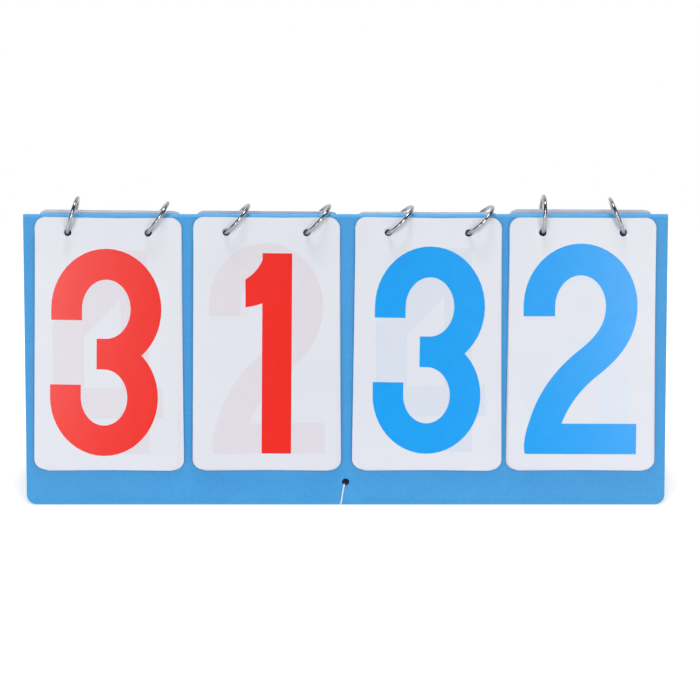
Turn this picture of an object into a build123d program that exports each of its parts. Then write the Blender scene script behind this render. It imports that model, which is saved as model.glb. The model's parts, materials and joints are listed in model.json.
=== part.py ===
"""A tabletop flip scoreboard: one plastic sheet creased into a tent, with four packs of
ten number cards hung over the crease on pairs of hinged steel rings, and a tie string.

Millimetres. X runs along the crease, -Y is the side that the score is read from, and +Z is
up. The origin is on the table, under the middle of the crease.

Ring angles are measured about a ring's own centre from straight down, positive to the
rear. A card's slope is the direction of its body from straight down, positive to the rear,
so the front leg slopes by -leg_lean and the back leg by +leg_lean.
"""
from build123d import *
import math
import os

# the sheet that makes the stand
end_margin = 7.5               # beyond the last pack; the rows below give the other gaps
leg_length = 173.0             # from the crease axis down to the leg's lower edge
sheet_thickness = 1.5
crease_inner_radius = 0.3
leg_lean = 15.0                # degrees from vertical, each leg
leg_corner_radius = 6.0
leg_ring_hole = 6.0            # diameter of the holes that the rings pass through

# the number cards
card_width = 87.0
card_height = 151.0
card_thickness = 0.25
card_corner_radius = 6.0
card_hole = 4.8                # diameter
card_hole_spacing = 48.0
card_hole_from_top = 8.7       # hole centre to the card's top edge
card_gap = 0.10                # air between two cards of a stack, and under the first
card_hang = 0.1                # how far a hole's centre hangs outside the wire's centre

# the hinged rings
ring_inner_diameter = 20.0
wire_diameter = 2.2
ring_lift = 1.2                # ring centre above the crease axis
knuckle_diameter = 2.4
knuckle_width = 1.8
knuckle_leaf = 0.7             # width of the middle leaf
rivet_diameter = 0.9
rivet_head_diameter = 1.4
rivet_head_height = 0.2
ring_fit = 0.06                # clearance between the pieces of one ring
lap_angle = 12.0               # length of the lap joint, degrees of the ring
hinge_angle = 0.0              # the hinge is lowest on the ring, the lap uppermost
lap_centre_angle = 180.0

# cards at the rear that stand off the stack, so that they can swing clear of it
rear_card_spare = 0.30
rear_landing_spare = 0.40

# the tie string
string_diameter = 1.0
string_hole = 4.4
string_hole_height = 13.5      # above the leg's lower edge, along the leg
string_sidestep = 2.9          # where the string crosses the lower edge, from the hole
string_clear = 0.06
knot_diameter = 3.0
knot_height = 8.0              # above the leg's lower edge, along the leg
knot_sidestep = 2.2
nick_spare = 0.4               # depth of the nick beyond the string's own thickness

# one row for each pack, left to right: the gap to its left, the digit that it shows, the
# ring angle at which its outermost rear card rests, and how far its shown card and its
# rear cards sit askew, in degrees, counterclockwise seen from the front
packs = {
    "red_tens": dict(gap=7.5, shown=3, rear_angle=51.0, askew=-0.9, rear_askew=-0.7),
    "red_units": dict(gap=7.5, shown=1, rear_angle=48.0, askew=-0.5, rear_askew=-0.5),
    "blue_tens": dict(gap=9.5, shown=3, rear_angle=45.0, askew=-0.9, rear_askew=-0.3),
    "blue_units": dict(gap=5.0, shown=2, rear_angle=53.5, askew=-0.2, rear_askew=-0.4),
}
last_digit = 9
# how the cards behind the shown one sit: a repeating sequence of degrees askew
loose_askew = [0.35, -0.30, 0.10, -0.65, -0.15, 0.40, -0.50]
loose_shift = [-0.20, 0.15, 0.25, -0.10, 0.20, -0.25, 0.10]

# worked out from the sizes above
lean = math.radians(leg_lean)
ring_radius = (ring_inner_diameter + wire_diameter) / 2
wire_radius = wire_diameter / 2
crease_height = leg_length * math.cos(lean) - crease_inner_radius * math.sin(lean)
ring_height = crease_height + ring_lift
sheet_outside = crease_inner_radius + sheet_thickness
card_pitch = card_thickness + card_gap
first_card_offset = sheet_outside + card_gap + card_thickness / 2
card_above_wire = card_hole_from_top - card_hang
card_below_wire = card_height - card_above_wire
leg_hole_offset = crease_inner_radius + sheet_thickness / 2
stand_width = end_margin + sum(pack["gap"] + card_width for pack in packs.values())
closing_angle = 2 * leg_lean - math.degrees(
    math.atan2(knot_diameter + string_diameter, leg_length - knot_height)
)

# each pack's middle, along the crease
edge = -stand_width / 2
for pack in packs.values():
    pack["x"] = edge + pack["gap"] + card_width / 2
    edge += pack["gap"] + card_width


def ring_point(angle):
    """The wire's centre at a ring angle in radians, as (y, z)."""
    return (
        ring_radius * math.sin(angle),
        ring_height - ring_radius * math.cos(angle),
    )


def angle_on_front(offset):
    """The ring angle where the wire crosses a plane that lies this far outside the crease
    axis, parallel with the front leg."""
    reach = offset - ring_lift * math.sin(lean)
    return -(lean + math.asin(reach / ring_radius))


def front_offset(place):
    """How far outside the crease axis the card at this place in the front stack lies."""
    return first_card_offset + place * card_pitch


def rear_stack(pack):
    """The slope of a pack's rear cards, their ring angles from the leg outward, and the
    ring angle at which one more card lands behind them, all in radians."""
    count = pack["shown"]
    outermost = math.radians(pack["rear_angle"])
    spare = rear_card_spare if count > 1 else 0.0
    slope = lean
    for _ in range(20):
        reach = ring_radius * math.sin(outermost - slope)
        innermost = slope + math.asin(
            (reach - (count - 1) * card_pitch - spare) / ring_radius
        )
        stand_off = (
            ring_lift * math.sin(lean)
            + ring_radius * math.sin(innermost - lean)
            - first_card_offset
        )
        slope = lean - math.asin(stand_off / card_below_wire)
    reaches = [reach - (count - 1 - k) * card_pitch - spare for k in range(count - 1)]
    reaches += [reach, reach + card_pitch + rear_landing_spare]
    angles = [slope + math.asin(r / ring_radius) for r in reaches]
    return slope, angles[:-1], angles[-1]


def front_flip(pack):
    """Turn of the ring and swing of the card, in degrees, that take the shown card over
    the top to lie behind the rear stack."""
    slope, _, landing = rear_stack(pack)
    start = -angle_on_front(front_offset(last_digit - pack["shown"]))
    turn = 2 * math.pi - start - landing
    swing = 2 * math.pi - lean - slope - turn
    return math.degrees(turn), math.degrees(swing)


def rear_flip(pack):
    """The same for the outermost rear card, on its way to lie over the shown card."""
    slope, angles, _ = rear_stack(pack)
    landing = -angle_on_front(front_offset(last_digit - pack["shown"] + 1))
    turn = 2 * math.pi - angles[-1] - landing
    swing = 2 * math.pi - lean - slope - turn
    return math.degrees(turn), math.degrees(swing)


def leg_plane(side):
    """Origin on the crease axis, local Y up along the leg, local Z out of its outer face.
    side is 1 for the front leg and -1 for the back leg, whose local X is reversed."""
    return Plane(
        origin=(0, 0, crease_height),
        x_dir=(side, 0, 0),
        z_dir=(0, -side * math.cos(lean), math.sin(lean)),
    )


def ring_places():
    """The rings' places along the crease."""
    half = card_hole_spacing / 2
    return [pack["x"] + s * half for pack in packs.values() for s in (-1, 1)]


def leg(side):
    """One leg: a flat sheet with rounded lower corners, two ring holes for each pack, the
    string's hole, and a nick where the string wraps round the lower edge."""
    upper = Rectangle(stand_width, leg_length - leg_corner_radius, align=(Align.CENTER, Align.MAX))
    lower = Pos(0, -leg_length) * RectangleRounded(
        stand_width, 3 * leg_corner_radius, leg_corner_radius, align=(Align.CENTER, Align.MIN)
    )
    outline = upper + lower
    # the wire's place along the leg, at mid thickness
    y, z = ring_point(angle_on_front(leg_hole_offset))
    along = (crease_height - z) * math.cos(lean) - y * math.sin(lean)
    holes = [Pos(side * x, -along) * Circle(leg_ring_hole / 2) for x in ring_places()]
    holes.append(Pos(0, string_hole_height - leg_length) * Circle(string_hole / 2))
    nick_width = string_diameter + 4 * string_clear
    nick_depth = string_diameter + nick_spare
    holes.append(
        Pos(-string_sidestep, -leg_length)
        * Rectangle(nick_width, 2 * nick_depth, align=(Align.CENTER, Align.CENTER))
    )
    sheet = extrude(Plane.XY * (outline - holes), sheet_thickness)
    return leg_plane(side) * Pos(0, 0, crease_inner_radius) * sheet


def crease():
    """The bent strip of the sheet that joins the two legs and acts as their hinge."""
    middle = Plane.YZ.offset(-stand_width / 2)
    bend = Circle(sheet_outside) - Circle(crease_inner_radius)
    wedge = Polygon(
        (0, 0),
        (-2 * sheet_outside * math.cos(lean), 2 * sheet_outside * math.sin(lean)),
        (-2 * sheet_outside * math.cos(lean), 3 * sheet_outside),
        (2 * sheet_outside * math.cos(lean), 3 * sheet_outside),
        (2 * sheet_outside * math.cos(lean), 2 * sheet_outside * math.sin(lean)),
        align=None,
    )
    strip = extrude(middle * (bend & wedge), stand_width)
    return Pos(0, 0, crease_height) * strip


def card(x, ring_angle, slope, askew, shift=0.0):
    """A card whose holes hang on the wire at this ring angle. Its printed side faces -Y."""
    y, z = ring_point(ring_angle)
    plane = Plane(
        origin=(x + shift, y, z),
        x_dir=(1, 0, 0),
        z_dir=(0, -math.cos(slope), -math.sin(slope)),
    )
    outline = Pos(0, card_above_wire) * RectangleRounded(
        card_width, card_height, card_corner_radius, align=(Align.CENTER, Align.MAX)
    )
    holes = [
        Pos(s * card_hole_spacing / 2, -card_hang) * Circle(card_hole / 2) for s in (-1, 1)
    ]
    sheet = extrude(Plane.XY * (outline - holes), card_thickness / 2, both=True)
    return plane * Rot(Z=askew) * sheet


def pack_cards(name, pack):
    """The ten cards of a pack: the shown digit and those above it hang in front, and the
    lower ones have been turned over to the rear."""
    cards = {}
    shown = pack["shown"]
    for place, digit in enumerate(range(last_digit, shown - 1, -1)):
        top = digit == shown
        askew = pack["askew"] if top else loose_askew[place % len(loose_askew)]
        shift = 0.0 if top else loose_shift[place % len(loose_shift)]
        angle = angle_on_front(front_offset(place))
        cards[f"{name}_card_{digit}"] = card(pack["x"], angle, -lean, askew, shift)
    slope, angles, _ = rear_stack(pack)
    for digit, angle in enumerate(angles):
        cards[f"{name}_card_{digit}"] = card(pack["x"], angle, slope, pack["rear_askew"])
    return cards


def round_ring(x, profile, start, end):
    """A profile, drawn about the wire's centre with its Y outward, turned round the ring
    at this place along the crease, from one ring angle to another in degrees."""
    y, z = ring_point(math.radians(start))
    a = math.radians(start)
    section = Plane(origin=(x, y, z), x_dir=(1, 0, 0), z_dir=(0, math.cos(a), math.sin(a)))
    axis = Axis((x, 0, ring_height), (1, 0, 0))
    return revolve(section * profile, axis=axis, revolution_arc=end - start)


def lap_side(x, low, high):
    """The room of the lap joint between two distances from the ring's mid plane."""
    profile = Pos((low + high) / 2, 0) * Rectangle(high - low, 2 * wire_diameter)
    half = lap_angle / 2
    return round_ring(x, profile, lap_centre_angle - half, lap_centre_angle + half)


def hinge_disc(x, diameter, low, high):
    """A disc on the rivet's axis, between two distances from the ring's mid plane."""
    y, z = ring_point(math.radians(hinge_angle))
    disc = Cylinder(diameter / 2, high - low)
    return Pos(x + (low + high) / 2, y, z) * Rot(Y=90) * disc


def ring(x):
    """A hinged ring, closed: two half rings that meet in a lap joint at the top and in a
    riveted three-leaf knuckle at the bottom, inside the tent."""
    room = knuckle_diameter + 2 * ring_fit
    inner = knuckle_leaf / 2
    outer = inner + ring_fit
    side = knuckle_width / 2
    far = wire_diameter
    tip = lap_centre_angle + lap_angle / 2 - math.degrees(ring_fit / ring_radius)
    # the rear half carries the middle leaf
    rear = round_ring(x, Circle(wire_radius), hinge_angle, tip)
    rear -= lap_side(x, -far, ring_fit / 2)
    rear -= [hinge_disc(x, room, inner, far), hinge_disc(x, room, -far, -inner)]
    rear += hinge_disc(x, knuckle_diameter, -inner, inner)
    # the front half carries the two outer leaves
    front = round_ring(x, Circle(wire_radius), -tip, hinge_angle)
    front -= lap_side(x, -ring_fit / 2, far)
    front -= [
        hinge_disc(x, room, -outer, outer),
        hinge_disc(x, room, side, far),
        hinge_disc(x, room, -far, -side),
    ]
    front += [
        hinge_disc(x, knuckle_diameter, outer, side),
        hinge_disc(x, knuckle_diameter, -side, -outer),
    ]
    bore = hinge_disc(x, rivet_diameter + 2 * ring_fit, -far, far)
    head = side + ring_fit
    top = head + rivet_head_height
    rivet = hinge_disc(x, rivet_diameter, -head, head)
    rivet += hinge_disc(x, rivet_head_diameter, head, top)
    rivet += hinge_disc(x, rivet_head_diameter, -top, -head)
    return Compound([rear - bore, front - bore, rivet])


def knot_place(side):
    """The centre of a leg's knot, against the leg's inner face."""
    depth = crease_inner_radius - string_clear - knot_diameter / 2
    local = Vector(-knot_sidestep, knot_height - leg_length, depth)
    return leg_plane(side).from_local_coords(local)


def string_loop(side):
    """The loop that holds the string to a leg: from the knot out through the hole, down
    the outer face, under the lower edge in its nick, and back up to the knot."""
    away = string_diameter / 2 + string_clear
    outside = sheet_outside + away
    inside = crease_inner_radius - away
    hole = string_hole_height - leg_length - string_hole / 2 + away
    edge = -leg_length + string_diameter / 2 + nick_spare - string_clear
    knot = (-knot_sidestep, knot_height - leg_length, crease_inner_radius - knot_diameter / 2)
    route = [
        knot,
        (0, hole, inside),
        (0, hole, outside),
        (-string_sidestep, edge, outside),
        (-string_sidestep, edge, inside),
        knot,
    ]
    bend = string_diameter * 0.6
    path = FilletPolyline(*route[:-1], (knot[0], knot[1] - bend, knot[2]), radius=bend)
    section = Plane(origin=path @ 0, z_dir=path % 0) * Circle(string_diameter / 2)
    loop = sweep(section, path)
    loop += Pos(*knot) * Sphere(knot_diameter / 2)
    return leg_plane(side) * loop


def tie_string():
    """The span between the two knots, pulled straight by the legs."""
    front, back = knot_place(1), knot_place(-1)
    along = (back - front).normalized()
    start = front + along * (knot_diameter / 2 + string_clear)
    length = (back - front).length - knot_diameter - 2 * string_clear
    return extrude(Plane(origin=start, z_dir=along) * Circle(string_diameter / 2), length)


def build():
    nodes = {
        "front_leg": leg(1),
        "back_leg": leg(-1),
        "crease": crease(),
        "front_string_loop": string_loop(1),
        "back_string_loop": string_loop(-1),
        "tie_string": tie_string(),
    }
    for name, pack in packs.items():
        nodes.update(pack_cards(name, pack))
        for hand, side in (("left", -1), ("right", 1)):
            nodes[f"{name}_{hand}_ring"] = ring(pack["x"] + side * card_hole_spacing / 2)
    return nodes


os.makedirs("parts", exist_ok=True)
for node, shape in build().items():
    export_step(shape, f"parts/{node}.step")

for name, pack in packs.items():
    print(name, "front flip", front_flip(pack), "rear flip", rear_flip(pack))
print("closing angle", closing_angle)
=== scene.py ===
import json
import math
import bmesh
import bpy
from mathutils import Matrix, Vector
from mathutils.geometry import delaunay_2d_cdt


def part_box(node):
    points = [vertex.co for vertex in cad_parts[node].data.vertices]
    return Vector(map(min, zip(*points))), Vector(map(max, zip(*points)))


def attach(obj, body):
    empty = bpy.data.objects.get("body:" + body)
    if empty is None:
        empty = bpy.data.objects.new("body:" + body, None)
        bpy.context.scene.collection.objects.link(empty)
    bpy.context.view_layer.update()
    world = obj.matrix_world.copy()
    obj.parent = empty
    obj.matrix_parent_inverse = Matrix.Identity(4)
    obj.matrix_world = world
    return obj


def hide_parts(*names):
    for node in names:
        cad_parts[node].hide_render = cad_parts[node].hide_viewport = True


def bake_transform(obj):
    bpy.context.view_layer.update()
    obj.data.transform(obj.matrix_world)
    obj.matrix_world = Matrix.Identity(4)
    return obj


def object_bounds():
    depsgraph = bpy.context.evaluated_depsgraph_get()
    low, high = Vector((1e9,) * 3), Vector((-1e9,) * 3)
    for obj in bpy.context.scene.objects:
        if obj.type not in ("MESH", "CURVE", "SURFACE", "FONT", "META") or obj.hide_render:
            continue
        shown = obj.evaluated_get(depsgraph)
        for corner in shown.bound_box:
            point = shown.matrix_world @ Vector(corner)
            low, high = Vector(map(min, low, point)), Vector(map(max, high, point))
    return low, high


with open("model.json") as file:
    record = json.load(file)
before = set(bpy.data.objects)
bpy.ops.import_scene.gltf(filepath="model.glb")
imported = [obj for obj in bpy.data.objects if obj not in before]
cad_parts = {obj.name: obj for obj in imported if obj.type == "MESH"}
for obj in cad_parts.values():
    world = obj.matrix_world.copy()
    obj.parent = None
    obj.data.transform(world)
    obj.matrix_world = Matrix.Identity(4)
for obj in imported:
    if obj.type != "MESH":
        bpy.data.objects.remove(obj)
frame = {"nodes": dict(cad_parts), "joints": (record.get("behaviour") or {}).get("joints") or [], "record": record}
cad_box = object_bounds()


# ---- Camera ----------------------------------------------------------------------------
# A long lens a metre away, in front of the middle and looking down 19 degrees. The cards
# lean back 15 degrees, so they are seen almost square on.
MM = 0.001
camera_distance = 1.0
camera_elevation = math.radians(18.9)
camera_target = Vector((2.65, 0.0, 82.95)) * MM
lens_pixels = 1627.0           # focal length in pixels of the 700-pixel frame
frame_pixels = 700.0
sensor_width = 36.0

camera = bpy.data.objects.new("camera", bpy.data.cameras.new("camera"))
bpy.context.scene.collection.objects.link(camera)
camera.data.sensor_width = sensor_width
camera.data.lens = sensor_width * lens_pixels / frame_pixels
camera_back = Vector((0.0, -math.cos(camera_elevation), math.sin(camera_elevation)))
camera.location = camera_target + camera_back * camera_distance
camera.rotation_euler = (math.pi / 2 - camera_elevation, 0.0, 0.0)
camera.data.clip_start = 0.05
camera.data.clip_end = 20.0
bpy.context.scene.camera = camera


# ---- Stand: the two legs ---------------------------------------------------------------
# One die-cut sheet of light-blue polypropylene, 1.5 mm thick, extruded with a fine sand
# grain on both faces and scored along the middle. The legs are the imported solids.
sheet_blue = "#2D92D4"
sheet_blue_pale = "#3B9DDB"
sand_grain = 1.4 * MM          # coarser than the real 0.3 mm, so that it shows
sheet_mottle = 26.0 * MM       # slow change of shade in the extruded sheet
sheet_wave = 70.0 * MM         # how far apart the sheet's faint waves lie
scuff_length = 9.0 * MM
scuff_width = 0.12             # how narrow a scuff is beside its length
sheet_gloss = (0.42, 0.56)     # roughness of the smoothest and the most scuffed parts


def linear(code):
    """An sRGB hex colour as linear red, green, blue and alpha."""
    parts = [int(code[i:i + 2], 16) / 255 for i in (1, 3, 5)]
    low = [c / 12.92 if c <= 0.04045 else ((c + 0.055) / 1.055) ** 2.4 for c in parts]
    return (*low, 1.0)


def add(tree, kind, settings=None, **links):
    """One shader node, with its settings and with links into its named sockets."""
    made = tree.nodes.new(kind)
    for key, value in (settings or {}).items():
        if key in made.inputs:
            made.inputs[key].default_value = value
        else:
            setattr(made, key, value)
    for key, socket in links.items():
        tree.links.new(socket, made.inputs[key.replace("_", " ")])
    return made


def new_material(name):
    """An empty node material with its output, and the object's own coordinates."""
    material = bpy.data.materials.new(name)
    material.use_nodes = True
    tree = material.node_tree
    tree.nodes.clear()
    where = add(tree, "ShaderNodeTexCoord").outputs["Object"]
    return material, tree, where


def finish_material(tree, shader):
    """Joins the last shader to the material's surface."""
    output = add(tree, "ShaderNodeOutputMaterial")
    tree.links.new(shader.outputs[0], output.inputs["Surface"])


def extruded_polypropylene(name, dark, pale):
    """Satin polypropylene, pressed by sanded rolls: an even colour, a broad soft gloss
    broken by the sand grain, and a few fine scuffs that catch the light."""
    material, tree, where = new_material(name)
    mottle = add(tree, "ShaderNodeTexNoise", {"Scale": 1 / sheet_mottle, "Detail": 3.0},
                 Vector=where)
    grain = add(tree, "ShaderNodeTexNoise", {"Scale": 1 / sand_grain, "Detail": 2.0},
                Vector=where)
    both = add(tree, "ShaderNodeMix", {"data_type": "FLOAT", "Factor": 0.6},
               A=mottle.outputs["Fac"], B=grain.outputs["Fac"])
    blend = add(tree, "ShaderNodeMapRange", {"From Min": 0.32, "From Max": 0.68},
                Value=both.outputs[0])
    colour = add(tree, "ShaderNodeMix", {"data_type": "RGBA"}, Factor=blend.outputs[0])
    colour.inputs[6].default_value = linear(dark)
    colour.inputs[7].default_value = linear(pale)
    stretched = add(tree, "ShaderNodeMapping", {"Scale": (scuff_width, 1.0, 1.0)}, Vector=where)
    scuff = add(tree, "ShaderNodeTexNoise",
                {"Scale": 8 / scuff_length, "Detail": 4.0, "Roughness": 0.7},
                Vector=stretched.outputs[0])
    smoothest, roughest = sheet_gloss
    rough = add(tree, "ShaderNodeMapRange",
                {"From Min": 0.35, "From Max": 0.75, "To Min": smoothest, "To Max": roughest},
                Value=scuff.outputs["Fac"])
    wave = add(tree, "ShaderNodeTexNoise", {"Scale": 1 / sheet_wave, "Detail": 1.0},
               Vector=where)
    broad = add(tree, "ShaderNodeBump", {"Strength": 0.5, "Distance": 0.6 * MM},
                Height=wave.outputs["Fac"])
    fine = add(tree, "ShaderNodeBump", {"Strength": 0.35, "Distance": 0.08 * MM},
               Height=grain.outputs["Fac"], Normal=broad.outputs[0])
    shader = add(tree, "ShaderNodeBsdfPrincipled", {"IOR": 1.49},
                 Base_Color=colour.outputs[2], Roughness=rough.outputs[0],
                 Normal=fine.outputs[0])
    finish_material(tree, shader)
    return material


def dress(node, material):
    """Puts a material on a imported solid, in place of its plain one."""
    data = frame["nodes"][node].data
    data.materials.clear()
    data.materials.append(material)


sheet_material = extruded_polypropylene("sand_grained_polypropylene", sheet_blue,
                                        sheet_blue_pale)
for leg in ("front_leg", "back_leg"):
    dress(leg, sheet_material)


# ---- Stand: the crease -----------------------------------------------------------------
# The scored and folded strip that joins the legs and works as their living hinge. Its plastic
# is painted paler than the legs', a painted highlight for the light from above on the fold's top.
# painted highlight: these are paler than the sheet's colours for the light falling on the fold's top
crease_painted_highlight = "#43A0DA"
crease_painted_highlight_paler = "#55ACE0"
crease_steps = 24
crease_inside = 0.3 * MM       # radius of the fold's inner face

fold = next(j for j in frame["joints"] if j["name"] == "stand_fold")
crease_axis = Vector(fold["pos_m"])
foot = next(m for m in frame["record"]["mounts"] if m["name"] == "front_foot")
lean = math.asin(-foot["axis"][1])


def link(name, mesh, material):
    """A new object in the scene with its one material."""
    piece = bpy.data.objects.new(name, mesh)
    bpy.context.scene.collection.objects.link(piece)
    mesh.materials.append(material)
    return piece


def mesh_from(bm, name, sharp=35.0):
    """A mesh from a bmesh: smooth, with the edges above this angle kept sharp."""
    bmesh.ops.recalc_face_normals(bm, faces=bm.faces)
    for face in bm.faces:
        face.smooth = True
    for edge in bm.edges:
        if len(edge.link_faces) == 2:
            edge.smooth = edge.calc_face_angle(0.0) < math.radians(sharp)
    mesh = bpy.data.meshes.new(name)
    bm.to_mesh(mesh)
    bm.free()
    return mesh


def loft(bm, loops):
    """Quads between successive loops of points, with flat ends."""
    rings = [[bm.verts.new(p) for p in points] for points in loops]
    count = len(rings[0])
    for one, two in zip(rings, rings[1:]):
        for i in range(count):
            j = (i + 1) % count
            bm.faces.new((one[i], one[j], two[j], two[i]))
    bm.faces.new(list(reversed(rings[0])))
    bm.faces.new(rings[-1])


crease_low, crease_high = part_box("crease")
crease_outside = crease_high.z - crease_axis.z
bend = [lean + (math.pi - 2 * lean) * i / crease_steps for i in range(crease_steps + 1)]
sections = []
for x in (crease_low.x, crease_high.x):
    outer = [(x, -crease_outside * math.cos(a), crease_outside * math.sin(a)) for a in bend]
    inner = [(x, -crease_inside * math.cos(a), crease_inside * math.sin(a)) for a in bend]
    sections.append([Vector(p) + crease_axis for p in outer + inner[::-1]])
bm = bmesh.new()
loft(bm, sections)
# the fold gets the paler colours, as a painted highlight
material = extruded_polypropylene("fold_painted_highlight_polypropylene", crease_painted_highlight, crease_painted_highlight_paler)
crease_piece = link("crease_bend", mesh_from(bm, "crease_bend"), material)
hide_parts("crease")
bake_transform(crease_piece)


# ---- Cards -----------------------------------------------------------------------------
# Forty white PVC sheets, 0.25 mm thick, die-cut with rounded corners and two punched
# holes. Calendered satin both sides, so they shine softly and show slight waves.
card_white = "#E2E4EB"
card_shade = "#D9DBE5"
card_peel = 0.5 * MM           # spacing of the calendered surface's fine ripple
card_wave = 55.0 * MM
card_rub = 16.0 * MM           # patches dulled by handling
card_gloss = (0.31, 0.40)      # roughness of the shiniest and the dullest parts

# cool white with a soft sheen, a little uneven where hands have dulled it
material, tree, where = new_material("calendered_white_pvc")
cloud = add(tree, "ShaderNodeTexNoise", {"Scale": 1 / card_wave, "Detail": 2.0}, Vector=where)
tone = add(tree, "ShaderNodeMix", {"data_type": "RGBA"}, Factor=cloud.outputs["Fac"])
tone.inputs[6].default_value = linear(card_shade)
tone.inputs[7].default_value = linear(card_white)
peel = add(tree, "ShaderNodeTexNoise", {"Scale": 1 / card_peel, "Detail": 1.0}, Vector=where)
handled = add(tree, "ShaderNodeTexNoise", {"Scale": 1 / card_rub, "Detail": 2.0}, Vector=where)
satin = add(tree, "ShaderNodeMapRange", {"From Min": 0.2, "From Max": 0.8,
                                         "To Min": card_gloss[0], "To Max": card_gloss[1]},
            Value=handled.outputs["Fac"])
wavy = add(tree, "ShaderNodeBump", {"Strength": 0.5, "Distance": 0.5 * MM},
           Height=cloud.outputs["Fac"])
rippled = add(tree, "ShaderNodeBump", {"Strength": 0.15, "Distance": 0.01 * MM},
              Height=peel.outputs["Fac"], Normal=wavy.outputs[0])
shader = add(tree, "ShaderNodeBsdfPrincipled", {"IOR": 1.53}, Base_Color=tone.outputs[2],
             Roughness=satin.outputs[0], Normal=rippled.outputs[0])
finish_material(tree, shader)
card_material = material

packs = ("red_tens", "red_units", "blue_tens", "blue_units")
digits = range(10)
for pack in packs:
    for digit in digits:
        dress(f"{pack}_card_{digit}", card_material)


# ---- Printed digits --------------------------------------------------------------------
# Bold condensed numerals, screen-printed on the front of each card in one flat coat of
# vinyl ink. The ink film is slightly glossier than the card, and thicker here than the real
# 0.01 mm, so that it shows. The sizes of the digits are in mm, from the foot of the print.
ink_colours = {"red": ("#ED1C10", "#EF281C"), "blue": ("#009AEF", "#0EA3F3")}
ink_proud = 0.03 * MM
ink_sunk = 0.02 * MM
ink_mottle = 7.0 * MM
ink_gloss = 0.25
print_height = 9.4             # from the card's lower edge to a flat digit's foot
print_width = 65.5
print_top = 122.0
stroke = 18.4
flag_tip, stem_edge = 8.8, 36.7   # the left end and the right edge of the 1
# how far each pack's print lies off its place, to the right and up
print_shift = {"red_tens": -1.3, "red_units": 1.4, "blue_tens": 1.1, "blue_units": -2.2}
print_rise = {"red_tens": 0.2, "red_units": 0.3, "blue_tens": 1.6, "blue_units": 0.0}


def arc(cx, cy, rx, ry, start, end, steps=36):
    """Points of an ellipse from one angle to another, in degrees."""
    angles = [math.radians(start + (end - start) * i / steps) for i in range(steps + 1)]
    return [(cx + rx * math.cos(a), cy + ry * math.sin(a)) for a in angles]


def curve(a, b, c, d, steps=18):
    """Points of a cubic curve with two handles."""
    points = []
    for i in range(steps + 1):
        t = i / steps
        weights = ((1 - t) ** 3, 3 * t * (1 - t) ** 2, 3 * t * t * (1 - t), t ** 3)
        points.append(tuple(sum(w * p[k] for w, p in zip(weights, (a, b, c, d))) for k in (0, 1)))
    return points


def brush(path, width=stroke, closed=False):
    """The quads that a brush of constant width covers along a path."""
    path = [p for i, p in enumerate(path) if i == 0 or math.dist(p, path[i - 1]) > 0.01]
    if closed:
        path = path[:-1] if math.dist(path[0], path[-1]) < 0.01 else path
    sides = []
    last = len(path) - 1
    for i, (x, y) in enumerate(path):
        before = path[i - 1] if (i or closed) else path[0]
        after = path[(i + 1) % len(path)] if (i < last or closed) else path[last]
        dx, dy = after[0] - before[0], after[1] - before[1]
        k = width / 2 / math.hypot(dx, dy)
        sides.append(((x - dy * k, y + dx * k), (x + dy * k, y - dx * k)))
    following = sides[1:] + sides[:1] if closed else sides[1:]
    return [[a[0], a[1], b[1], b[0]] for a, b in zip(sides, following)]


def block(left, low, right, high):
    """One upright rectangle, as the list of polygons that the digits are made of."""
    return [[(left, low), (right, low), (right, high), (left, high)]]


# the brush's centre line round a digit's bowls: its radii, its two sides, and the heights
# of the upper and the lower bowl's middle
middle = print_width / 2
mid_rx, mid_ry = 23.6, 27.0
left, right = middle - mid_rx, middle + mid_rx
bowl_top, bowl_foot = 87.0, 34.2


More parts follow.
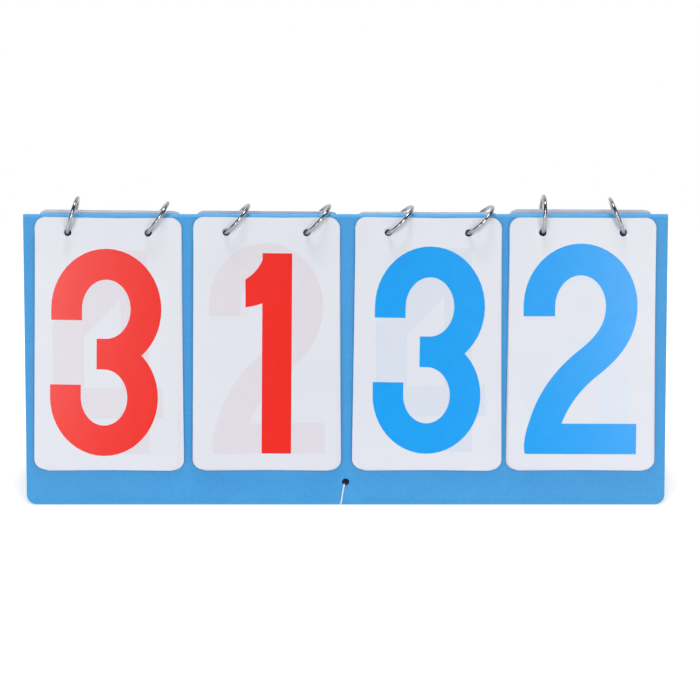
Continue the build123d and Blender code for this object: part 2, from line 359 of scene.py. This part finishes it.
def digit_shape(digit):
    """The digit as a list of overlapping polygons, in mm, its flat foot at y = 0."""
    if digit == 0:
        path = arc(middle, bowl_top, mid_rx, mid_ry, 0, 180)
        path += arc(middle, bowl_foot, mid_rx, mid_ry - 0.9, 180, 360)
        return brush(path, closed=True)
    if digit == 1:
        flag = curve((20.1, 120.1), (18.8, 113.0), (14.4, 107.8), (flag_tip, 104.3))
        foot_of_flag = curve((9.0, 87.7), (13.0, 88.3), (16.5, 89.2), (19.4, 90.3), 6)
        stem = block(19.0, 0, stem_edge, 120.1)
        return [flag + foot_of_flag + [(22.0, 90.3), (22.0, 120.1)]] + stem
    if digit == 2:
        path = [(9.4, 82.8)] + arc(34.0, 88.8, 24.6, 28.0, 180, 0)
        path += curve((58.6, 88.8), (58.6, 74.0), (50.5, 64.0), (39.1, 54.9))
        path += curve((39.1, 54.9), (26.5, 45.0), (11.9, 27.0), (11.0, 3.0))
        heel = curve((10.4, 34.0), (5.8, 26.0), (-1.0, 9.0), (1.6, 0.0))
        heel += [(20.0, 0.0), (20.0, 34.0)]
        return brush(path, 18.9) + [heel] + block(10.0, 0, 68.4, 18.4)
    if digit == 3:
        upper = [(9.6, 80.2)] + arc(33.3, 87.0, 23.7, 26.9, 180, -90) + [(27.6, 60.1)]
        lower = [(27.6, 60.1)] + arc(32.2, 34.0, 23.15, 26.1, 90, -180) + [(9.05, 41.5)]
        return brush(upper) + brush(lower)
    if digit == 4:
        slope = [(0, 78.0), (0, 21.5), (18.6, 21.5), (18.6, 70.0), (43.0, 95.0),
                 (43.0, print_top), (34.0, print_top)]
        bar = block(0, 21.5, print_width, 39.9)
        return [slope] + block(41.0, 0, 57.4, print_top) + bar
    if digit == 5:
        path = curve((15.0, 64.0), (20.0, 68.0), (26.0, 69.6), (33.5, 69.6), 12)
        path += arc(33.5, 38.4, mid_rx, 31.2, 90, -180) + [(left + 0.75, 44.0)]
        bars = block(3.6, 104.0, 61.5, print_top) + block(3.6, 56.8, 21.4, print_top)
        return brush(path) + bars
    if digit in (6, 9):
        bowl = brush(arc(middle, 38.0, mid_rx, 30.2, 0, 360, 60), closed=True)
        back = [(left, 38.0)] + arc(middle, bowl_top, mid_rx, mid_ry, 180, 0) + [(right, 82.0)]
        shape = bowl + brush(back)
        if digit == 6:
            return shape
        tall = bowl_top + mid_ry + 38.0 - 30.2
        return [[(print_width - x, tall - y) for x, y in p] for p in shape]
    if digit == 7:
        slope = curve((56.3, 110.0), (48.0, 78.0), (28.0, 50.0), (28.0, 0.0))
        return brush(slope, 19.4) + block(0, 104.0, print_width, print_top)
    upper = brush(arc(middle, 90.0, 21.6, 24.0, 0, 360, 60), closed=True)
    lower = brush(arc(middle, bowl_foot, mid_rx, mid_ry - 0.6, 0, 360, 60), closed=True)
    return upper + lower


def print_mesh(digit, name, low, high):
    """A closed thin plate in the digit's shape, between two heights above the card."""
    points, faces = [], []
    for polygon in digit_shape(digit):
        faces.append(list(range(len(points), len(points) + len(polygon))))
        points += [Vector(p) for p in polygon]
    places, _, triangles, _, _, strokes = delaunay_2d_cdt(points, [], faces, 1, 1e-4)
    wide = flag_tip + stem_edge if digit == 1 else print_width
    bm = bmesh.new()
    tops = [bm.verts.new(((p.x - wide / 2) * MM, p.y * MM, high)) for p in places]
    for triangle, covered_by in zip(triangles, strokes):
        if covered_by:
            bm.faces.new([tops[i] for i in triangle])
    bmesh.ops.delete(bm, geom=[v for v in bm.verts if not v.link_faces], context="VERTS")
    bmesh.ops.recalc_face_normals(bm, faces=bm.faces)
    grown = bmesh.ops.extrude_face_region(bm, geom=bm.faces[:])
    moved = [v for v in grown["geom"] if isinstance(v, bmesh.types.BMVert)]
    bmesh.ops.translate(bm, verts=moved, vec=(0, 0, low - high))
    return mesh_from(bm, name)


def printed_vinyl_ink(name, deep, light, roughness):
    """One screen-printed coat: strong even colour with faint mottling from the screen."""
    material, tree, where = new_material(name)
    mottle = add(tree, "ShaderNodeTexNoise", {"Scale": 1 / ink_mottle, "Detail": 4.0},
                 Vector=where)
    colour = add(tree, "ShaderNodeMix", {"data_type": "RGBA"}, Factor=mottle.outputs["Fac"])
    colour.inputs[6].default_value = linear(deep)
    colour.inputs[7].default_value = linear(light)
    grain = add(tree, "ShaderNodeTexNoise", {"Scale": 1 / card_peel, "Detail": 2.0},
                Vector=where)
    bump = add(tree, "ShaderNodeBump", {"Strength": 0.2, "Distance": 0.01 * MM},
               Height=grain.outputs["Fac"])
    shader = add(tree, "ShaderNodeBsdfPrincipled", {"IOR": 1.5, "Roughness": roughness},
                 Base_Color=colour.outputs[2], Normal=bump.outputs[0])
    finish_material(tree, shader)
    return material


def card_place(node):
    """Where a card's printed face is: X to the right, Y up the card, Z out of the face,
    and the origin in the middle of the lower edge."""
    mesh = frame["nodes"][node].data
    face = max((p for p in mesh.polygons if p.normal.y < -0.5), key=lambda p: p.area)
    out = face.normal.copy()
    walls = [p for p in mesh.polygons if abs(p.normal.dot(out)) < 0.1 and p.normal.x > 0.5]
    across = max(walls, key=lambda p: p.area).normal.copy()
    up = out.cross(across).normalized()
    across = up.cross(out).normalized()
    spans = []
    for axis in (across, up, out):
        along = [v.co.dot(axis) for v in mesh.vertices]
        spans.append((min(along), max(along)))
    origin = across * sum(spans[0]) / 2 + up * spans[1][0] + out * spans[2][1]
    turn = Matrix((across, up, out)).transposed()
    return Matrix.Translation(origin) @ turn.to_4x4()


body_of_node = {
    node: body
    for body, nodes in frame["record"]["behaviour"]["bodies"].items()
    for node in nodes
}
inks = {
    colour: printed_vinyl_ink(f"{colour}_screen_printed_vinyl_ink", deep, light, ink_gloss)
    for colour, (deep, light) in ink_colours.items()
}
for pack in packs:
    colour = pack.split("_")[0]
    for digit in digits:
        node = f"{pack}_card_{digit}"
        name = f"{pack}_digit_{digit}"
        height = print_height + print_rise[pack]
        shift = Matrix.Translation((print_shift[pack] * MM, height * MM, 0))
        piece = link(name, print_mesh(digit, name, -ink_sunk, ink_proud), inks[colour])
        piece.matrix_world = card_place(node) @ shift
        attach(piece, body_of_node[node])


# ---- Show-through ----------------------------------------------------------------------
# The white PVC isn't quite opaque, so the digit on the next card of a pack shows faintly
# through the one in front. It is a film on the shown card, a little darker than the card
# and with a trace of its ink's colour, and just as glossy as the card.
show_colours = {"red_tens": ("#D9D4DC", "#DDDAE2"), "red_units": ("#D9D3DB", "#DDD9E1"),
                "blue_tens": ("#D1D9E5", "#D7DDE7"), "blue_units": ("#D6DDE9", "#DCE1EB")}
# how far each digit behind lies to the right of its pack's usual place
show_slip = {"red_tens": 0.0, "red_units": -3.2, "blue_tens": 0.0, "blue_units": 1.0}
show_proud = 0.012 * MM
show_sunk = 0.01 * MM
show_gloss = 0.35
shown = {"red_tens": 3, "red_units": 1, "blue_tens": 3, "blue_units": 2}

for pack, digit in shown.items():
    material = printed_vinyl_ink(f"{pack}_ink_seen_through_pvc", *show_colours[pack],
                                 show_gloss)
    front = card_place(f"{pack}_card_{digit}")
    behind = card_place(f"{pack}_card_{digit + 1}")
    out = front.col[2].to_3d()
    lift = out * (front.translation - behind.translation).dot(out)
    across = print_shift[pack] + show_slip[pack]
    shift = Matrix.Translation((across * MM, (print_height + print_rise[pack]) * MM, 0))
    name = f"{pack}_show_through"
    mesh = print_mesh(digit + 1, name, -show_sunk, show_proud)
    piece = link(name, mesh, material)
    piece.matrix_world = Matrix.Translation(lift) @ behind @ shift
    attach(piece, f"{pack}_front_card")


# ---- Binder rings ----------------------------------------------------------------------
# Hinged rings of 2.2 mm steel wire, nickel-plated and bright: two half rings that snap
# together in a lap joint at the top and turn on a rivet at the bottom. They hang loose in
# the punched holes, so each leans its own way, in degrees, and slips to one side, in mm.
ring_lean = {
    "red_tens_left_ring": 17.0, "red_tens_right_ring": 36.0,
    "red_units_left_ring": 42.0, "red_units_right_ring": 43.0,
    "blue_tens_left_ring": 46.0, "blue_tens_right_ring": 46.0,
    "blue_units_left_ring": 2.0, "blue_units_right_ring": -23.0,
}
ring_slip = {
    "red_tens_left_ring": -0.6, "red_tens_right_ring": -1.3,
    "red_units_left_ring": -1.4, "red_units_right_ring": -1.4,
    "blue_tens_left_ring": -1.3, "blue_tens_right_ring": -1.3,
    "blue_units_left_ring": 0.0, "blue_units_right_ring": 0.8,
}
wire = 2.2 * MM
wire_sides = 28
ring_middle = 11.1 * MM        # from the ring's centre to the wire's
hole_level = 9.4 * MM          # from the crease axis down to the punched holes
lap = math.radians(12.0)
snap_gap = 0.06 * MM
knuckle = 2.4 * MM
knuckle_leaf = 0.35 * MM
knuckle_side = 0.9 * MM
rivet_head = 1.4 * MM
drawn_line = 0.5 * MM          # spacing of the marks left by drawing the wire
haze_patch = 3.0 * MM
ring_gloss = (0.12, 0.24)

# bright and nearly a mirror, with a slight haze from handling
material, tree, where = new_material("bright_nickel_plated_steel")
drawn = add(tree, "ShaderNodeTexNoise", {"Scale": 1 / drawn_line, "Detail": 3.0}, Vector=where)
haze = add(tree, "ShaderNodeTexNoise", {"Scale": 1 / haze_patch, "Detail": 2.0}, Vector=where)
gloss = add(tree, "ShaderNodeMapRange", {"From Min": 0.3, "From Max": 0.7,
                                         "To Min": ring_gloss[0], "To Max": ring_gloss[1]},
            Value=haze.outputs["Fac"])
tint = add(tree, "ShaderNodeMix", {"data_type": "RGBA"}, Factor=haze.outputs["Fac"])
tint.inputs[6].default_value = linear("#A0A2A5")
tint.inputs[7].default_value = linear("#B6B8BA")
bump = add(tree, "ShaderNodeBump", {"Strength": 0.12, "Distance": 0.01 * MM},
           Height=drawn.outputs["Fac"])
shader = add(tree, "ShaderNodeBsdfPrincipled", {"Metallic": 1.0}, Base_Color=tint.outputs[2],
             Roughness=gloss.outputs[0], Normal=bump.outputs[0])
finish_material(tree, shader)
ring_material = material


def ring_section(angle, side=0):
    """The wire's outline at an angle round the ring, cut flat along the ring's middle
    plane on one side where the lap joint leaves half of it."""
    out = Vector((0, math.sin(angle), -math.cos(angle)))
    points = []
    for i in range(wire_sides):
        a = 2 * math.pi * i / wire_sides
        x = wire / 2 * math.cos(a)
        if side:
            x = side * max(side * x, snap_gap / 2)
        points.append(Vector((x, 0, 0)) + out * (ring_middle + wire / 2 * math.sin(a)))
    return points


def half_ring(bm, start, end, side, steps=56, lap_steps=8):
    """Half a ring from the hinge to the lap joint, whose last stretch is a half wire."""
    sign = 1 if end > start else -1
    step_at = end - sign * lap
    loops = []
    for i in range(steps + 1):
        loops.append(ring_section(start + (step_at - start) * i / steps))
    for i in range(lap_steps + 1):
        loops.append(ring_section(step_at + (end - step_at) * i / lap_steps, side))
    loft(bm, loops)


def turned(bm, profile, sides=32):
    """A turned piece on the rivet's axis, from (distance along it, radius) pairs."""
    centre = Vector((0, 0, -ring_middle))
    loops = []
    for x, radius in profile:
        ring = [2 * math.pi * i / sides for i in range(sides)]
        loops.append([centre + Vector((x, radius * math.cos(a), radius * math.sin(a)))
                      for a in ring])
    loft(bm, loops)


def leaf(bm, low, high):
    """One leaf of the knuckle, with its edges broken."""
    r, edge = knuckle / 2, 0.08 * MM
    turned(bm, [(low, r - edge), (low + edge, r), (high - edge, r), (high, r - edge)])


def ring_mesh(name):
    """A whole closed ring about the X axis: two halves, a three-leaf knuckle, two heads."""
    bm = bmesh.new()
    seam = snap_gap / ring_middle
    wall = math.asin((knuckle / 2 - 0.15 * MM) / ring_middle)
    half_ring(bm, wall, math.pi + lap / 2 - seam, 1)
    half_ring(bm, -wall, -math.pi - lap / 2 + seam, -1)
    leaf(bm, -knuckle_leaf, knuckle_leaf)
    leaf(bm, knuckle_leaf + snap_gap, knuckle_side)
    leaf(bm, -knuckle_side, -knuckle_leaf - snap_gap)
    for sign in (-1, 1):
        x, r = knuckle_side, rivet_head / 2
        dome = [(0, r), (0.08, r), (0.16, r * 0.8), (0.22, r * 0.45), (0.24, r * 0.1)]
        turned(bm, [(sign * (x + d * MM), q) for d, q in dome], 24)
    return mesh_from(bm, name)


# a leaning wire can't turn with a flipped card, so all the wires stay with the front leg
for node, angle in ring_lean.items():
    low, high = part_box(node)
    place = Vector(((low.x + high.x) / 2, 0, high.z - ring_middle - wire / 2))
    pivot = Vector((place.x, 0, crease_axis.z - hole_level))
    name = node + "_wire"
    piece = link(name, ring_mesh(name), ring_material)
    tilt = Matrix.Rotation(math.radians(angle), 4, "Y")
    piece.matrix_world = (
        Matrix.Translation(pivot + Vector((ring_slip[node] * MM, 0, 0))) @ tilt
        @ Matrix.Translation(place - pivot)
    )
    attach(piece, "stand_front")
    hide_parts(node)


# ---- Tie string ------------------------------------------------------------------------
# One length of white cotton cord, three plies twisted together, 1 mm thick. It goes out
# through the hole in each leg, round the leg's lower edge in a small nick, and is knotted
# inside, so the span between the knots stops the legs from sliding apart.
cord_thickness = 1.0 * MM
ply_thickness = 0.52 * MM
twist_pitch = 2.6 * MM
span_steps = 40                # how finely the cord between the knots can be bent
cord_step = 0.2 * MM
cord_air = 0.06 * MM           # between the cord and the sheet
nick_floor = 0.35 * MM         # from the leg's lower edge up to the cord in its nick
leg_length = 173.0 * MM
sheet_inside = 0.3 * MM
sheet_outside = 1.8 * MM
hole_height = 13.5 * MM        # above the leg's lower edge
hole_radius = 2.2 * MM
sidestep = 2.9 * MM            # from the hole's middle across to the nick
knot_height = 8.0 * MM
knot_sidestep = 2.2 * MM
knot_thickness = 3.0 * MM
exit_side = -0.9 * MM          # where the cord lies in its hole, beside the middle
fibre_size = 0.12 * MM
soil_patch = 5.0 * MM

# dull, soft and a little fuzzy, with no gloss and the faintest soiling
material, tree, where = new_material("twisted_white_cotton")
fibre = add(tree, "ShaderNodeTexNoise", {"Scale": 1 / fibre_size, "Detail": 3.0}, Vector=where)
soil = add(tree, "ShaderNodeTexNoise", {"Scale": 1 / soil_patch, "Detail": 2.0}, Vector=where)
tone = add(tree, "ShaderNodeMix", {"data_type": "RGBA"}, Factor=soil.outputs["Fac"])
tone.inputs[6].default_value = linear("#E4E4E4")
tone.inputs[7].default_value = linear("#F6F6F6")
fuzz = add(tree, "ShaderNodeBump", {"Strength": 0.6, "Distance": 0.04 * MM},
           Height=fibre.outputs["Fac"])
shader = add(tree, "ShaderNodeBsdfPrincipled",
             {"Roughness": 0.85, "Sheen Weight": 0.3, "Sheen Roughness": 0.5},
             Base_Color=tone.outputs[2], Normal=fuzz.outputs[0])
finish_material(tree, shader)
cord_material = material


def on_leg(side, x, up, out):
    """A point by a leg: x along the crease as seen from that leg's outside, up from its
    lower edge, and out from the crease axis square to the sheet."""
    down = leg_length - up
    y = down * math.sin(lean) + out * math.cos(lean)
    z = crease_axis.z - down * math.cos(lean) + out * math.sin(lean)
    return Vector((side * x, -side * y, z))


def smooth_path(points, per_span=14):
    """A soft curve through points, for a limp cord."""
    found = []
    padded = [points[0], *points, points[-1]]
    for a, b, c, d in zip(padded, padded[1:], padded[2:], padded[3:]):
        for k in range(per_span):
            t = k / per_span
            found.append(0.5 * (2 * b + (c - a) * t + (2 * a - 5 * b + 4 * c - d) * t * t
                                + (3 * b - a - 3 * c + d) * t ** 3))
    found.append(points[-1].copy())
    return found


def evenly(points, step):
    """The same line with its points a fixed step apart."""
    out, left_over = [points[0]], 0.0
    for a, b in zip(points, points[1:]):
        length = (b - a).length
        at = step - left_over
        while at < length:
            out.append(a.lerp(b, at / length))
            at += step
        left_over = length - (at - step)
    return out


def twisted_cord(bm, points, sides=8):
    """Three plies wound round a line."""
    points = evenly(points, cord_step)
    up = Vector((0.3, 0.2, 1)).normalized()
    frames = []
    for i, p in enumerate(points):
        along = (points[min(i + 1, len(points) - 1)] - points[max(i - 1, 0)]).normalized()
        side = along.cross(up).normalized()
        up = side.cross(along).normalized()
        frames.append((p, side, up.copy()))
    for ply in range(3):
        loops = []
        for i, (p, side, up) in enumerate(frames):
            a = 2 * math.pi * (ply / 3 + i * cord_step / twist_pitch)
            reach = (cord_thickness - ply_thickness) / 2
            middle_of_ply = p + (side * math.cos(a) + up * math.sin(a)) * reach
            loops.append([middle_of_ply + (side * math.cos(b) + up * math.sin(b))
                          * ply_thickness / 2
                          for b in (2 * math.pi * k / sides for k in range(sides))])
        loft(bm, loops)


def overhand_knot(bm, centre, turn, steps=96):
    """A pulled-tight overhand knot: a trefoil of the same cord."""
    trefoil_reach = 3.0
    size = (knot_thickness - cord_thickness) / 2 / trefoil_reach
    line = []
    for i in range(steps + 1):
        t = 2 * math.pi * i / steps
        point = Vector((math.sin(t) + 2 * math.sin(2 * t), math.cos(t) - 2 * math.cos(2 * t),
                        -1.2 * math.sin(3 * t)))
        line.append(centre + turn @ (point * size))
    twisted_cord(bm, line)


away = cord_thickness / 2 + cord_air
inside, outside = sheet_inside - away, sheet_outside + away
in_hole = hole_height - hole_radius + away
under = cord_thickness / 2 + nick_floor
knot = (-knot_sidestep, knot_height, sheet_inside - knot_thickness / 2)
slant = (sidestep + exit_side) / in_hole
# from the knot out through the hole, straight down the outside, round the edge and back
route = [
    knot, (exit_side, in_hole - 1.0 * MM, inside), (exit_side, in_hole, inside + 0.5 * MM),
    (exit_side, in_hole, outside - 0.5 * MM),
    *((exit_side - slant * fall, in_hole - fall, outside)
      for fall in (1.0 * MM, 5.0 * MM, in_hole - under - 1.4 * MM)),
    (-sidestep, under, outside - 0.6 * MM), (-sidestep, under, inside + 0.6 * MM),
    (-sidestep, under + 1.4 * MM, inside - 0.1 * MM), knot,
]
for side, leg in ((1, "front"), (-1, "back")):
    bm = bmesh.new()
    twisted_cord(bm, smooth_path([on_leg(side, *p) for p in route]))
    out_of_leg = Vector((0, -side * math.cos(lean), math.sin(lean)))
    overhand_knot(bm, on_leg(side, *knot), out_of_leg.to_track_quat("Z", "Y").to_matrix())
    name = f"{leg}_cord_loop"
    piece = link(name, mesh_from(bm, name, 60.0), cord_material)
    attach(piece, f"stand_{leg}")
    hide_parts(f"{leg}_string_loop")

ends = [on_leg(side, *knot) for side in (1, -1)]
bm = bmesh.new()
twisted_cord(bm, [ends[0].lerp(ends[1], i / span_steps) for i in range(span_steps + 1)])
tie = link("tie_cord", mesh_from(bm, "tie_cord", 60.0), cord_material)
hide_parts("tie_string")
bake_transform(tie)


# ---- Lamps -----------------------------------------------------------------------------
# Softboxes with white cloth fronts: one above, one over the camera, one on each side and
# one behind. The one behind is screened, so that bright metal doesn't mirror it.
lamp_aim = Vector((0.0, 0.0, 0.09))


def area_light(name, power, size, place, mirrored=True):
    """A softbox: its power in watts, its width and height, and where it hangs."""
    lamp = bpy.data.lights.new(name, "AREA")
    lamp.energy = power
    lamp.shape = "RECTANGLE"
    lamp.size, lamp.size_y = size
    holder = bpy.data.objects.new(name, lamp)
    bpy.context.scene.collection.objects.link(holder)
    holder.location = place
    holder.visible_glossy = mirrored
    direction = lamp_aim - Vector(place)
    holder.rotation_euler = direction.to_track_quat("-Z", "Y").to_euler()


area_light("top_softbox", 3.6, (0.3, 0.2), (0.0, -0.05, 1.15))
area_light("front_softbox", 8.0, (0.8, 0.4), (0.0, -1.5, 1.25))
area_light("right_softbox", 4.4, (0.35, 0.55), (0.62, -1.4, 0.45))
area_light("left_softbox", 3.9, (0.35, 0.55), (-0.62, -1.4, 0.45))
area_light("back_softbox", 17.0, (1.2, 0.6), (0.0, 1.35, 1.1), mirrored=False)


# ---- Paper sweep -----------------------------------------------------------------------
# A sheet of matt white paper that the stand is set on. It keeps the stand's shadow, and is
# lit evenly to white away from it. Under the stand it is left to its own shade.
sweep_radius = 12.0            # metres
sweep_near = 0.35              # from the middle, where the stand's shadow still lies
sweep_far = 0.75               # from here on the paper is plain white
paper_white = (0.8, 0.8, 0.8, 1)
lamp_white = (1, 1, 1, 1)
paper_lift = 0.4               # how much the lit paper is brightened round the stand
shade_ends = (0.25, 1.0)       # where that begins and is full, as shares of the footprint
footprint_share = 0.95         # of the stand's box, as far as the inside of the legs


def any_ray(tree, *kinds):
    """1 for rays of these kinds, 0 for the others."""
    path = add(tree, "ShaderNodeLightPath")
    found = path.outputs[kinds[0]]
    for kind in kinds[1:]:
        either = add(tree, "ShaderNodeMath", {"operation": "MAXIMUM"})
        tree.links.new(found, either.inputs[0])
        tree.links.new(path.outputs[kind], either.inputs[1])
        found = either.outputs[0]
    return found


bm = bmesh.new()
bmesh.ops.create_circle(bm, cap_ends=True, segments=96, radius=sweep_radius)
material, tree, where = new_material("white_paper_sweep")
far = add(tree, "ShaderNodeVectorMath", {"operation": "LENGTH"})
tree.links.new(where, far.inputs[0])
beyond = add(tree, "ShaderNodeMapRange",
             {"interpolation_type": "SMOOTHSTEP", "From Min": sweep_near, "From Max": sweep_far},
             Value=far.outputs["Value"])
paper = add(tree, "ShaderNodeBsdfDiffuse", {"Color": paper_white})
seen = any_ray(tree, "Is Camera Ray", "Is Glossy Ray")
footprint = cad_box[1] * footprint_share
apart = add(tree, "ShaderNodeSeparateXYZ", Vector=where)
spans = []
for axis, half in (("X", footprint[0]), ("Y", footprint[1])):
    size = add(tree, "ShaderNodeMath", {"operation": "ABSOLUTE"})
    tree.links.new(apart.outputs[axis], size.inputs[0])
    spans.append(add(tree, "ShaderNodeMath", {"operation": "DIVIDE"}))
    tree.links.new(size.outputs[0], spans[-1].inputs[0])
    spans[-1].inputs[1].default_value = half
widest = add(tree, "ShaderNodeMath", {"operation": "MAXIMUM"})
for socket, span in zip(widest.inputs, spans):
    tree.links.new(span.outputs[0], socket)
outside = add(tree, "ShaderNodeMapRange",
              {"interpolation_type": "SMOOTHSTEP", "From Min": shade_ends[0],
               "From Max": shade_ends[1], "To Max": paper_lift},
              Value=widest.outputs[0])
lift = add(tree, "ShaderNodeMath", {"operation": "MULTIPLY"})
tree.links.new(outside.outputs[0], lift.inputs[0])
tree.links.new(seen, lift.inputs[1])
glow = add(tree, "ShaderNodeEmission", {"Color": lamp_white}, Strength=lift.outputs[0])
near = add(tree, "ShaderNodeAddShader")
tree.links.new(paper.outputs[0], near.inputs[0])
tree.links.new(glow.outputs[0], near.inputs[1])
plain = add(tree, "ShaderNodeEmission", {"Color": lamp_white}, Strength=seen)
sweep = add(tree, "ShaderNodeMixShader", Fac=beyond.outputs[0])
tree.links.new(near.outputs[0], sweep.inputs[1])
tree.links.new(plain.outputs[0], sweep.inputs[2])
finish_material(tree, sweep)
floor = link("floor", mesh_from(bm, "floor"), material)


# ---- Studio round it -------------------------------------------------------------------
# A white wall behind the stand, and a dim room behind the camera, so that bright metal
# shows thin dark lines. A low even light fills the shadows.
room_level = 0.03
fill_level = 0.36
wall_ends = (-0.1, 0.95)       # where the wall fades in and is full, by a direction's Y

world = bpy.data.worlds.new("studio")
bpy.context.scene.world = world
world.use_nodes = True
tree = world.node_tree
tree.nodes.clear()
direction = add(tree, "ShaderNodeTexCoord").outputs["Generated"]
sides = add(tree, "ShaderNodeSeparateXYZ", Vector=direction)
backdrop = add(tree, "ShaderNodeMapRange",
               {"interpolation_type": "SMOOTHSTEP", "From Min": wall_ends[0],
                "From Max": wall_ends[1], "To Min": room_level}, Value=sides.outputs["Y"])
mirrored = any_ray(tree, "Is Glossy Ray")
seen = any_ray(tree, "Is Camera Ray", "Is Transmission Ray")
fill = add(tree, "ShaderNodeMix", {"data_type": "FLOAT"}, Factor=mirrored)
fill.inputs[2].default_value = fill_level
tree.links.new(backdrop.outputs[0], fill.inputs[3])
level = add(tree, "ShaderNodeMix", {"data_type": "FLOAT"}, Factor=seen)
tree.links.new(fill.outputs[0], level.inputs[2])
level.inputs[3].default_value = 1.0
surround = add(tree, "ShaderNodeBackground", {"Color": lamp_white}, Strength=level.outputs[0])
output = add(tree, "ShaderNodeOutputWorld")
tree.links.new(surround.outputs[0], output.inputs["Surface"])
bpy.context.scene.view_settings.view_transform = "Standard"
